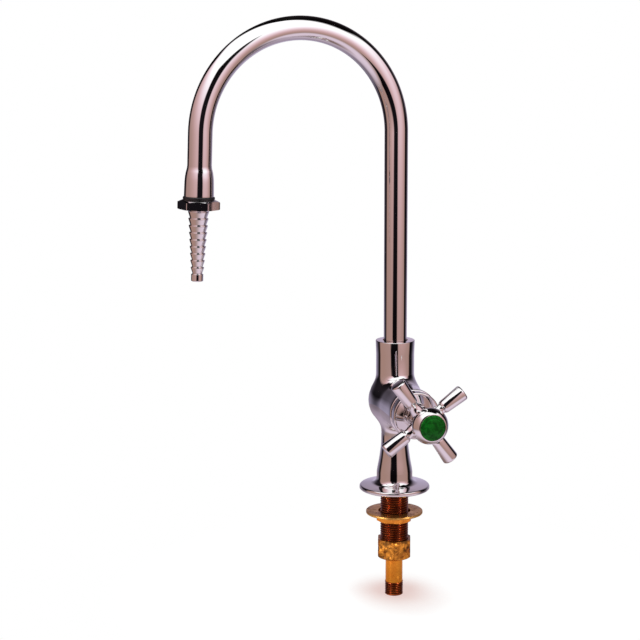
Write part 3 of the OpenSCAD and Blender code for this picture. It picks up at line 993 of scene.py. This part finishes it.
@dataclass
class Spout:
    """The bent tube, its socket and the serrated nozzle."""

    places: Places
    tube_r: float = 8.575
    wall: float = 1.6
    foot: float = 103.0
    drop_len: float = 34.0
    socket_end: float = 44.4
    seal_top: float = 43.8
    hex_af: float = 26.1
    hex_end: float = 52.7
    hex_turn: float = 22.6
    shoulder_r: float = 11.0
    shoulder_t: float = 1.4
    hex_drop: float = 3.2
    ridges: int = 10
    pitch: float = 4.93
    ridge_r: float = 7.35
    ridge_step: float = 0.33
    ridge_root: float = 1.35
    tip_r: float = 4.3

    def tube(self) -> bmesh.types.BMesh:
        """The riser, the arch and the drop leg as one swept tube wall.

        Returns:
            The tube in the frame.
        """
        p = self.places
        bm = bmesh.new()
        for r in (self.tube_r, self.tube_r - self.wall):
            bmesh.ops.create_circle(bm, segments=96, radius=r * MM)
        bmesh.ops.bridge_loops(bm, edges=bm.edges[:])
        bmesh.ops.translate(bm, verts=bm.verts, vec=(0, 0, self.foot * MM))
        end = bm.faces[:]
        for _ in range(12):
            end = self.grow(bm, end, Vector((0, 0, (p.arch_z - self.foot) / 12 * MM)))
        steps = bmesh.ops.spin(bm, geom=end, cent=(-p.arch_r * MM, 0, p.arch_z * MM),
                               axis=(0, -1, 0),
                               angle=math.radians(p.sweep), steps=110)
        end = [f for f in steps["geom_last"] if isinstance(f, bmesh.types.BMFace)]
        down = p.drop().to_3x3() @ Vector((0, 0, 1))
        down.rotate(Matrix.Rotation(-math.radians(p.swing), 3, "Z"))
        for _ in range(4):
            end = self.grow(bm, end, down * (self.drop_len / 4 * MM))
        inner = [f for f in bm.faces if all(len(e.link_faces) > 2 for e in f.edges)]
        bmesh.ops.delete(bm, geom=inner, context="FACES_ONLY")
        bmesh.ops.remove_doubles(bm, verts=bm.verts, dist=1e-7)
        bmesh.ops.recalc_face_normals(bm, faces=bm.faces)
        return moved(bm, p.spout())

    @staticmethod
    def grow(bm: bmesh.types.BMesh, faces: list, step: Vector) -> list:
        """Extrudes faces by a step.

        Args:
            bm: The mesh.
            faces: The end faces.
            step: The way to go, in metres.

        Returns:
            The new end faces.
        """
        made = bmesh.ops.extrude_face_region(bm, geom=faces)["geom"]
        bmesh.ops.translate(bm, verts=[g for g in made if isinstance(g, bmesh.types.BMVert)],
                            vec=step)
        bmesh.ops.delete(bm, geom=faces, context="FACES_ONLY")
        return [g for g in made if isinstance(g, bmesh.types.BMFace)]

    def socket_outline(self) -> list[tuple[float, ...]]:
        """The flared socket's outline as a loop round its bore.

        Returns:
            (radius, distance) points.
        """
        r, top = self.tube_r, self.drop_len - 11.6
        flare = eased([(r + 0.07, top), (r + 0.14, top + 1), (r + 0.38, top + 2.3),
                       (r + 0.9, top + 4.3),
                       (r + 1.33, top + 6.8), (r + 1.6, top + 9.3), (10.33, top + 13),
                       (10.5, self.seal_top - 1.0)], 42)
        return [
            *flare, (10.5, self.seal_top, 0.25),
            (8.8, self.seal_top), (8.8, self.socket_end - 1.6), (7.6, self.socket_end - 1.6),
            (7.6, self.drop_len), (r + 0.05, self.drop_len),
        ]

    def nozzle_outline(self) -> list[tuple[float, ...]]:
        """The serrated shank below the hexagon.

        Returns:
            (radius, distance) points down to the tip.
        """
        start = self.hex_end + 1.4
        made: list[tuple[float, ...]] = [(6.5, start - 0.35)]
        for i in range(self.ridges - 1):
            crest, z = self.ridge_r - self.ridge_step * i, start + self.pitch * i
            made += [(crest, z, 0.12), (crest, z + 0.5, 0.12),
                     (crest - self.ridge_root, z + self.pitch - 0.35, 0.06)]
        tip = start + self.pitch * (self.ridges - 1)
        return [*made, (self.tip_r, tip, 0.15), (self.tip_r, tip + 5.1, 0.8)]

    def nozzle(self) -> bmesh.types.BMesh:
        """The nozzle: plug, hexagon and ridges with the waterway through them.

        Returns:
            The nozzle in the drop leg's own place.
        """
        tip = self.nozzle_outline()[-1][1]
        stem = turned([(0, self.drop_len + 2), (7.55, self.drop_len + 2),
                       (7.55, self.socket_end + 1),
                       (6.5, self.socket_end + 1), *self.nozzle_outline(), (0, tip)], 96)
        corner = self.hex_af / math.sqrt(3)
        low, high = self.socket_end, self.hex_end
        slope = low + self.hex_drop - 1.8 * (corner - 8.6) / (corner - self.shoulder_r)
        cone = turned([(0, slope), (8.6, slope), (corner + 0.05, low + self.hex_drop),
                       (corner + 0.05, high - 0.48), (corner - 0.8, high, 0.15), (0, high)], 128)
        nut = combine(hexagon(self.hex_af, low - 1, high + 1, self.hex_turn, 0.3), cone,
                      Join.COMMON)
        whole = combine(nut, stem, Join.ADD)
        bore = turned([(0, 0), (2.8, 0), (2.8, tip + 5), (0, tip + 5)], 48)
        return combine(whole, bore, Join.TAKE)

    def seal(self) -> bmesh.types.BMesh:
        """The black ring squeezed between the socket and the hexagon.

        Returns:
            The ring in the drop leg's own place.
        """
        top, low = self.seal_top, self.socket_end + self.shoulder_t
        mid, half = (top + low) / 2, (low - top) / 2
        bulge = [(self.shoulder_r - 0.25 + 0.55 * math.cos(math.radians(a)),
                  mid + half * math.sin(math.radians(a))) for a in range(-80, 81, 16)]
        return turned([(7.7, top), (9.4, top), *bulge, (9.6, low), (7.7, low)], 128, closed=True)

    def build(self, finishes: Finishes) -> None:
        """Builds the four pieces.

        Args:
            finishes: The tap's finishes.
        """
        drop = self.places.drop()
        socket = moved(turned(self.socket_outline(), 128, closed=True), drop)
        finishes.show(self.tube(), "gooseneck_bend", "spout", Slot.CHROME, "gooseneck_tube")
        finishes.show(socket, "spout_socket", "spout", Slot.CHROME, "outlet_socket")
        finishes.show(moved(self.nozzle(), drop), "hose_nozzle", "spout", Slot.CHROME,
                      "serrated_nozzle", flat=True)
        finishes.show(moved(self.seal(), drop), "nozzle_seal", "spout", Slot.RUBBER,
                      "serrated_nozzle", finish=finishes.seal)


# ------------------------------------------------------------------ below the deck


@dataclass
class Tail:
    """The threaded shank and everything that hangs on it below the deck."""

    shank_r: float = 10.65
    shank_low: float = -46.0
    shank_top: float = 11.0
    shank_pitch: float = 1.814
    washer_r: float = 21.4
    washer_hole: float = 12.15
    washer_z: float = -19.1
    washer_t: float = 1.7
    nut_af: float = 25.4
    nut_t: float = 5.8
    nut_turn: float = 8.0
    coupling_af: float = 24.6
    coupling_top: float = -39.0
    coupling_len: float = 14.8
    coupling_turn: float = 13.0
    tail_r: float = 6.86
    tail_step: float = 0.36
    tail_thread: float = 10.3
    tail_pitch: float = 1.41
    tail_low: float = -83.3

    def shank(self) -> bmesh.types.BMesh:
        """The shank with its helical thread.

        Returns:
            The shank in the frame.
        """
        low, high = self.shank_low, self.shank_top
        wall = [(self.shank_r, z) for z in rows(low + 0.9, high - 1, self.shank_pitch / 12)]
        bm = turned([(5, low), (self.shank_r - 0.9, low), *wall, (self.shank_r - 1, high),
                     (5, high)],
                    72, closed=True)
        Thread(self.shank_r, 0.95, self.shank_pitch, low + 0.9, high - 1).cut(bm)
        return bm

    def washer(self) -> bmesh.types.BMesh:
        """The large clamp washer.

        Returns:
            The washer in the frame.
        """
        low, high = self.washer_z, self.washer_z + self.washer_t
        return turned([(self.washer_hole, low, 0.2), (self.washer_r, low, 0.3),
                       (self.washer_r, high, 0.35), (self.washer_hole, high, 0.25)], 128,
                       closed=True)

    def nut(self) -> bmesh.types.BMesh:
        """The thin hexagon locknut.

        Returns:
            The nut in the frame.
        """
        high = self.washer_z
        low, corner = high - self.nut_t, self.nut_af / math.sqrt(3)
        cone = turned([(10.7, low), (corner - 2.2, low, 0.2), (corner + 0.05, low + 1.32),
                       (corner + 0.05, high - 0.24), (corner - 0.4, high, 0.1), (10.7, high)], 128,
                      closed=True)
        return combine(cone, hexagon(self.nut_af, low - 1, high + 1, self.nut_turn, 0.35),
                       Join.COMMON)

    def coupling(self) -> bmesh.types.BMesh:
        """The forged hexagon coupling with its uneven skin.

        Returns:
            The coupling in the frame.
        """
        high = self.coupling_top
        low, corner = high - self.coupling_len, self.coupling_af / math.sqrt(3)
        cone = turned([(0, low), (corner - 2.2, low, 0.5), (corner + 0.05, low + 1.9, 0.6),
                       (corner + 0.05, high - 0.48), (corner - 0.8, high, 0.3), (0, high)], 128)
        prism = hexagon(self.coupling_af, low - 1, high + 1, self.coupling_turn, 0.9)
        solid = combine(prism, cone, Join.COMMON)
        bmesh.ops.triangulate(solid, faces=solid.faces)
        for _ in range(3):
            long = [e for e in solid.edges if e.calc_length() > 1.3 * MM]
            if not long:
                break
            bmesh.ops.subdivide_edges(solid, edges=long, cuts=1, use_grid_fill=True)
            bmesh.ops.triangulate(solid, faces=solid.faces)
        for v in solid.verts:
            swell = noise.fractal(v.co * 260, 0.8, 2.0, 3)
            flat = Vector((v.co.x, v.co.y, 0)).normalized()
            v.co += flat * min(0.0, swell * 0.00022 - 0.00008)
        bore = turned([(0, low - 1), (6.91, low - 1), (6.91, -50.1), (10.7, -50.1),
                       (10.7, high + 1), (0, high + 1)], 72)
        return combine(solid, bore, Join.TAKE)

    def tailpiece(self) -> tuple[bmesh.types.BMesh, bmesh.types.BMesh]:
        """The tail pipe with its flange, and its threaded end.

        Returns:
            The plain pipe and the threaded sleeve.
        """
        flange, plain = -50.1, self.tail_r - self.tail_step
        start = self.tail_low + self.tail_thread
        pipe = turned([(4.6, start), (plain, start), (plain, flange), (10.45, flange),
                       (10.45, flange + 2.6), (4.6, flange + 2.6)], 96, closed=True)
        wall = [(self.tail_r, z) for z in rows(self.tail_low + 0.4, start - 0.1,
                                               self.tail_pitch / 12)]
        end = turned([(4.6, self.tail_low), (self.tail_r - 0.5, self.tail_low), *wall,
                      (plain, start), (4.6, start)], 72, closed=True)
        Thread(self.tail_r, 0.75, self.tail_pitch, self.tail_low + 0.4, start - 0.1).cut(end)
        return pipe, end

    def build(self, finishes: Finishes) -> None:
        """Builds every piece below the deck.

        Args:
            finishes: The tap's finishes.
        """
        show = finishes.show
        show(self.shank(), "threaded_shank", "tap", Slot.THREAD, "mounting_shank")
        show(self.washer(), "deck_washer", "clamp", Slot.WASHER, "clamp_washer")
        show(self.nut(), "hexagon_locknut", "nut", Slot.BRIGHT, "locknut", flat=True)
        show(self.coupling(), "forged_coupling", "tap", Slot.ROUGH, "tail_coupling")
        pipe, end = self.tailpiece()
        show(pipe, "tail_pipe", "tap", Slot.BRASS, "inlet_tailpiece")
        show(end, "tail_pipe_thread", "tap", Slot.THREAD, "inlet_tailpiece",
             finish=finishes.tail_thread)


# -------------------------------------------------------------------------- the set


def tone(red: int, green: int, blue: int, gain: float = 1.0) -> tuple[float, float, float]:
    """Turns a colour of 0 to 255, as a screen shows it, into shader values.

    Args:
        red, green, blue: The colour.
        gain: How many times as bright it is made.

    Returns:
        The three values.
    """
    return tuple(gain * (((c / 255 + 0.055) / 1.055) ** 2.4 if c > 10 else c / 3295)
                 for c in (red, green, blue))


@dataclass
class Studio:
    """The floor, the light tent, the lamps and the camera."""

    floor_z: float = -83.35
    tent_r: float = 500.0
    tent_top: float = 1100.0
    facing: float = 253.2
    eye: tuple[float, float, float] = (-358.8, -1189.9, 354.36)
    heading: tuple[float, float] = (0.2453, 0.9694)
    pitch: float = 10.28
    roll: float = -0.16
    lens: float = 95.55
    shadow: tuple[float, float, float] = (0.74, 0.55, 0.52)
    brass_pieces: tuple[str, ...] = ("threaded_shank", "deck_washer", "hexagon_locknut",
                                     "forged_coupling", "tail_pipe", "tail_pipe_thread")

    def floor(self) -> None:
        """Lays the pale round floor that shows the soft shadow."""
        bm = bmesh.new()
        bmesh.ops.create_circle(bm, cap_ends=True, segments=96, radius=(self.tent_r + 5) * MM)
        bmesh.ops.translate(bm, verts=bm.verts, vec=(0, 0, self.floor_z * MM))
        floor = self.prop(bm, "floor")
        g = Graph(floor.data.materials[0].node_tree)
        path = g.node("ShaderNodeLightPath").outputs
        place = g.node("ShaderNodeTexCoord").outputs["Object"]
        away = g.node("ShaderNodeVectorMath", operation="LENGTH")
        g.link(place, away.inputs[0])
        out = away.outputs["Value"]
        glow = g.node("ShaderNodeEmission", in_0=(*self.shadow, 1), in_1=1.0)
        catch = g.node("ShaderNodeBsdfDiffuse", in_0=(*(1 - c for c in self.shadow), 1))
        lit = g.node("ShaderNodeAddShader")
        g.link(glow.outputs[0], lit.inputs[0])
        g.link(catch.outputs[0], lit.inputs[1])
        fade = g.node("ShaderNodeMapRange", interpolation_type="SMOOTHSTEP", in_1=0.14, in_2=0.24)
        g.link(out, fade.inputs[0])
        plain = g.node("ShaderNodeEmission", in_0=(1, 1, 1, 1), in_1=1.0)
        shown = self.either(g, fade.outputs[0], lit.outputs[0], plain.outputs[0])
        # Mirrored rays see a painted reflection of the floor, with painted shade under the tap,
        # instead of the lit floor.
        mirrored = g.node("ShaderNodeEmission", in_1=1.0)
        g.link(self.mirrored_floor_shade(g, place, out), mirrored.inputs[0])
        dull = g.node("ShaderNodeBsdfDiffuse", in_0=(0.85, 0.82, 0.82, 1))
        gloss = g.math("MAXIMUM", path["Is Glossy Ray"], path["Is Transmission Ray"])
        both = self.either(g, gloss, dull.outputs[0], mirrored.outputs[0])
        g.link(self.either(g, path["Is Camera Ray"], both, shown),
               g.node("ShaderNodeOutputMaterial").inputs[0])

    def mirrored_floor_shade(self, g: Graph, place: bpy.types.NodeSocket,
              out: bpy.types.NodeSocket) -> bpy.types.NodeSocket:
        """The floor's colour as polished pieces mirror it: a painted reflection, with painted shade
        under the tap.

        Args:
            g: The floor's graph.
            place: The coordinate.
            out: The distance from the middle in metres.

        Returns:
            The colour's socket: painted shade under the tap, pale in front, dim behind and at the
            sides, with painted dark bands at the sides farther out.
        """
        # Painted shade: dark brown within about 0.1 m of the tap's axis, as mirrored rays see the
        # floor.
        mirrored_floor_shade = g.ramp(out, [(0.06, (0.12, 0.07, 0.04)), (0.10, (0.22, 0.14, 0.11)),
                             (0.14, (0.55, 0.43, 0.48)), (0.19, (0.80, 0.66, 0.77)),
                             (0.30, (0.82, 0.68, 0.79)), (0.36, (0.74, 0.60, 0.68)),
                             (0.45, (0.48, 0.35, 0.34)), (0.5, (0.40, 0.28, 0.26))])
        back = g.ramp(out, [(0.10, (0.60, 0.50, 0.58)), (0.25, (0.46, 0.37, 0.47)),
                            (0.40, (0.36, 0.29, 0.35)), (0.5, (0.34, 0.27, 0.34))])
        facing = math.radians(self.facing)
        toward = g.node("ShaderNodeVectorMath", operation="DOT_PRODUCT",
                        in_1=(math.cos(facing), math.sin(facing), 0))
        g.link(place, toward.inputs[0])
        front = g.node("ShaderNodeMapRange", interpolation_type="SMOOTHSTEP", in_1=-0.12, in_2=0.06)
        g.link(toward.outputs["Value"], front.inputs[0])
        mirrored_floor_shade = g.mix(front.outputs[0], back, mirrored_floor_shade)
        # Painted reflection: dark bands by angle round the sides of the mirrored floor, stronger
        # farther out.
        around, _ = self.turn_and_height(g)
        painted_dark_bands = g.ramp(around, [((a + 180) / 360, (s, s, s)) for a, s in (
            (-150, 0.1), (-125, 0.45), (-95, 0.35), (-60, 0.12), (-40, 0), (70, 0), (90, 0.75),
            (118, 0.8),
            (135, 0.15), (150, 0))])
        far_out = g.ramp(out, [(0.18, (0.25, 0.25, 0.25)), (0.36, (1, 1, 1))])
        return g.mix(g.math("MULTIPLY", painted_dark_bands, far_out), mirrored_floor_shade, (0.02, 0.012, 0.015))

    def turn_and_height(self, g: Graph) -> tuple[bpy.types.NodeSocket, bpy.types.NodeSocket]:
        """Measures where a point of the set lies, as the lens sees it.

        Args:
            g: The material's graph.

        Returns:
            The turn about the middle, 0.5 towards the lens, and the height in metres.
        """
        turn = g.node("ShaderNodeVectorRotate", rotation_type="Z_AXIS",
                      in_Angle=-math.radians(self.facing))
        g.link(g.node("ShaderNodeTexCoord").outputs["Object"], turn.inputs["Vector"])
        axes = g.node("ShaderNodeSeparateXYZ")
        g.link(turn.outputs[0], axes.inputs[0])
        x, y, z = axes.outputs
        return g.math("MULTIPLY_ADD", g.math("ARCTAN2", y, x), 1 / (2 * math.pi), 0.5), z

    @staticmethod
    def either(g: Graph, share: bpy.types.NodeSocket, low: bpy.types.NodeSocket,
               high: bpy.types.NodeSocket) -> bpy.types.NodeSocket:
        """Mixes two shaders by a share."""
        made = g.node("ShaderNodeMixShader")
        for source, socket in zip((share, low, high), made.inputs):
            g.link(source, socket)
        return made.outputs[0]

    @staticmethod
    def prop(bm: bmesh.types.BMesh, name: str) -> bpy.types.Object:
        """Stages a piece of the studio that isn't part of the tap.

        Args:
            bm: Its mesh; it is freed.
            name: Its name.

        Returns:
            The object, with an empty material.
        """
        mesh = bpy.data.meshes.new(name)
        bm.to_mesh(mesh)
        bm.free()
        mesh.shade_smooth()
        made = bpy.data.materials.new(f"{name}_finish")
        made.use_nodes = True
        made.cycles.emission_sampling = "NONE"
        mesh.materials.append(made)
        staged = bpy.data.objects.new(name, mesh)
        bpy.context.scene.collection.objects.link(staged)
        return staged

    def tent(self) -> None:
        """Hangs the round light tent that polished pieces mirror.

        Two pale screens stand in front, with a dark slit between them for the lens. They
        glow white towards the top. Dark gaps stand at the sides, and a pale wall behind.
        """
        r, top, low = self.tent_r, self.tent_top, self.floor_z
        bm = turned([(r + 4, low), (r, low + 4), (r, top - 250), (r - 90, top - 80),
                     (r - 250, top), (0, top)], 96)
        tent = self.prop(bm, "light_tent")
        tent.visible_camera = False
        tent.visible_diffuse = False
        tent.visible_shadow = False
        g = Graph(tent.data.materials[0].node_tree)
        around, z = self.turn_and_height(g)

        def by_angle(*stops: tuple[float, float]) -> bpy.types.NodeSocket:
            """A level round the tent from (degrees from the lens, level) pairs."""
            return g.ramp(around, [((a + 180) / 360, (s, s, s)) for a, s in stops])

        def by_height(level: bpy.types.NodeSocket, *stops: tuple) -> bpy.types.NodeSocket:
            """A colour up the tent from (metres, colour) pairs."""
            return g.ramp(g.math("ADD", level, 0.1), [(h + 0.1, c) for h, c in stops])

        lift = g.math("MULTIPLY_ADD", by_angle(
            (-105, 0.0), (-82, 0.09), (-67, 0.31), (-52, 0.54), (-37, 0.71), (-20, 0.80),
            (20, 0.89), (37, 0.97), (52, 0.93), (67, 0.80), (82, 0.51), (100, 0.37)), 0.35, -0.18)
        gain = 1.22
        screen = by_height(
            g.math("ADD", z, lift),
            (-0.10, tone(160, 128, 118, gain)), (0.12, tone(164, 133, 126, gain)),
            (0.25, tone(184, 149, 146, gain)), (0.35, tone(204, 170, 172, gain)),
            (0.45, tone(228, 200, 207, gain)), (0.56, tone(250, 240, 246, gain)),
            (0.66, (1.3, 1.3, 1.3)))

        def between(low: float, high: float, below: bpy.types.NodeSocket,
                    above: bpy.types.NodeSocket) -> bpy.types.NodeSocket:
            """Goes from one level to another between two heights."""
            return g.mix(by_height(z, (low, (0, 0, 0)), (high, (1, 1, 1))), below, above)

        low_slit = by_angle((-29, 0), (-25, 1), (14.5, 1), (19, 0))
        high_slit = by_angle((-23.5, 0), (-20, 1), (14, 1), (19, 0))
        top_slit = by_angle((-21, 0), (-17, 1), (19.5, 1), (24, 0))
        slit = g.math("MULTIPLY", between(0.36, 0.44, between(0.04, 0.24, low_slit, high_slit),
                                          top_slit),
                      by_height(z, (0.56, (1, 1, 1)), (0.59, (0, 0, 0))))
        low_sides = by_angle((-104, 0), (-94, 1), (88, 1), (96, 0))
        high_sides = by_angle((-106, 0), (-96, 1), (98, 1), (109, 0))
        roof_sides = by_angle((-130, 0), (-118, 1), (66, 1), (82, 0))
        sides = between(0.66, 0.8, between(0.28, 0.42, low_sides, high_sides), roof_sides)
        panels = g.math("SUBTRACT", sides, slit)
        wall = by_height(
            z, (-0.10, tone(186, 176, 202, gain)), (0.10, tone(184, 172, 196, gain)),
            (0.30, tone(178, 162, 180, gain)), (0.42, tone(140, 128, 138, gain)),
            (0.55, tone(80, 74, 78, gain)), (0.75, tone(34, 30, 32, gain)),
            (0.9, tone(22, 20, 20, gain)))
        low_back = by_angle((-180, 0.95), (-165, 0.5), (-154, 0.3), (-142, 0.17), (-131, 0.06),
                            (-122, 0.01), (114, 0), (126, 0.05), (134, 0.2), (142, 0.38),
                            (152, 0.5),
                            (165, 0.7), (180, 0.95))
        high_back = by_angle((-180, 1), (-165, 0.6), (-155, 0.2), (-146, 0.03), (116, 0),
                             (128, 0.05),
                             (136, 0.17), (146, 0.35), (165, 0.7), (180, 1))
        base_back = by_angle((-180, 1), (-160, 0.85), (-150, 0.6), (-138, 0.45), (-128, 0.3),
                             (-118, 0.1), (-112, 0), (108, 0), (117, 0.06), (125, 0.2), (134, 0.45),
                             (142, 0.6), (152, 0.75), (165, 0.88), (180, 1))
        behind = between(0.0, 0.1, base_back, between(0.12, 0.3, low_back, high_back))
        dark = tone(9, 6, 8)
        colour = g.mix(panels, g.mix(behind, dark, wall), screen)
        glow = g.node("ShaderNodeEmission", in_1=1.0)
        g.link(colour, glow.inputs[0])
        g.link(glow.outputs[0], g.node("ShaderNodeOutputMaterial").inputs[0])

    def sky(self) -> None:
        """Makes all that lies behind the set white, with a faint even light."""
        world = bpy.data.worlds.new("studio")
        bpy.context.scene.world = world
        world.use_nodes = True
        g = Graph(world.node_tree)
        seen = g.node("ShaderNodeLightPath").outputs["Is Camera Ray"]
        back = g.node("ShaderNodeBackground", in_1=1.0)
        g.link(g.mix(seen, (0.22, 0.21, 0.21), (1.0, 1.0, 1.0)), back.inputs[0])
        g.link(back.outputs[0], g.node("ShaderNodeOutputWorld").inputs[0])

    def lamps(self) -> None:
        """Hangs a broad soft lamp above, a fill for the tap alone and two strips for the brass."""
        tap = [o for o in bpy.context.scene.collection.all_objects
               if o.type == "MESH" and o.name not in ("floor", "light_tent")]
        brass = [o for o in tap if o.name in self.brass_pieces]
        above = self.lamp("overhead", 0.5, 18.0, (-0.04, -0.12, 1.25))
        shading = bpy.data.collections.new("shading")
        for piece in tap:
            if piece in brass or piece.name == "body_casting":
                shading.objects.link(piece)
        above.light_linking.blocker_collection = shading
        self.lamp("fill", 0.7, 5.0, (-0.9, -0.75, 0.35), tap)
        for name, side, energy in (("left_strip", -52, 6.5), ("right_strip", 50, 4.0)):
            a = math.radians(self.facing + side)
            strip = self.lamp(name, 0.15, energy, (0.8 * math.cos(a), 0.8 * math.sin(a), 0.05),
                              brass)
            strip.visible_glossy = True

    @staticmethod
    def lamp(name: str, size: float, energy: float, place: tuple[float, float, float],
             lit: Sequence[bpy.types.Object] = ()) -> bpy.types.Object:
        """Hangs a round lamp that faces the origin and isn't mirrored.

        Args:
            name: Its name.
            size: Its width in metres.
            energy: Its power in watts.
            place: Where it hangs.
            lit: The only objects that it lights; all where none are named.

        Returns:
            The lamp.
        """
        light = bpy.data.lights.new(name, "AREA")
        light.shape = "DISK"
        light.size = size
        light.energy = energy
        made = bpy.data.objects.new(name, light)
        aim = Vector(place).to_track_quat("Z", "Y").to_matrix().to_4x4()
        made.matrix_world = Matrix.Translation(place) @ aim
        made.visible_camera = False
        made.visible_glossy = False
        bpy.context.scene.collection.objects.link(made)
        if lit:
            only = bpy.data.collections.new(f"lit_by_{name}")
            for piece in lit:
                only.objects.link(piece)
            made.light_linking.receiver_collection = only
        return made

    def camera(self) -> None:
        """Stands the camera where the photograph was taken from."""
        lens = bpy.data.cameras.new("camera")
        lens.sensor_width = 36.0
        lens.lens = self.lens
        lens.clip_start = 0.05
        lens.clip_end = 20
        eye = bpy.data.objects.new("camera", lens)
        east, north = self.heading
        forward, right, up = Vector((east, north, 0)), Vector((north, -east, 0)), Vector((0, 0, 1))
        pitch, roll = math.radians(self.pitch), math.radians(self.roll)
        ahead = forward * math.cos(pitch) - up * math.sin(pitch)
        above = forward * math.sin(pitch) + up * math.cos(pitch)
        side = right * math.cos(roll) + above * math.sin(roll)
        top = above * math.cos(roll) - right * math.sin(roll)
        turn = Matrix((side, top, -ahead)).transposed().to_4x4()
        eye.matrix_world = Matrix.Translation(Vector(self.eye) * MM) @ turn
        bpy.context.scene.collection.objects.link(eye)
        bpy.context.scene.camera = eye

    def build(self) -> None:
        """Sets the whole stage."""
        self.floor()
        self.tent()
        self.sky()
        self.lamps()
        self.camera()
        bpy.context.scene.view_settings.view_transform = "Standard"


INNER: dict[str, Slot] = {
    "tail_washer": Slot.FIBRE, "valve_seat": Slot.BRASS, "bonnet_washer": Slot.FIBRE,
    "spindle": Slot.BRASS, "thrust_washer": Slot.RUBBER, "spindle_orings": Slot.RUBBER,
    "jumper": Slot.BRASS, "seat_washer": Slot.RUBBER, "washer_screw": Slot.BRASS,
    "handle_screw": Slot.BRASS, "swivel_nipple": Slot.BRASS, "swivel_orings": Slot.RUBBER,
    "swivel_ring": Slot.SPRING, "nozzle_washer": Slot.FIBRE,
}


def main() -> None:
    """Builds the tap and its studio."""
    logging.basicConfig(level=logging.INFO, format="%(message)s")
    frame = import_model()
    finishes = Finishes()
    for name, node in frame["nodes"].items():
        finishes.dress(node, INNER.get(name, Slot.CHROME))
    places = Places()
    BodyCasting(places).build(finishes)
    Valve(places).build(finishes)
    Handle(places).build(finishes)
    Spout(places).build(finishes)
    Tail().build(finishes)
    Studio().build()


if __name__ == "__main__":
    main()
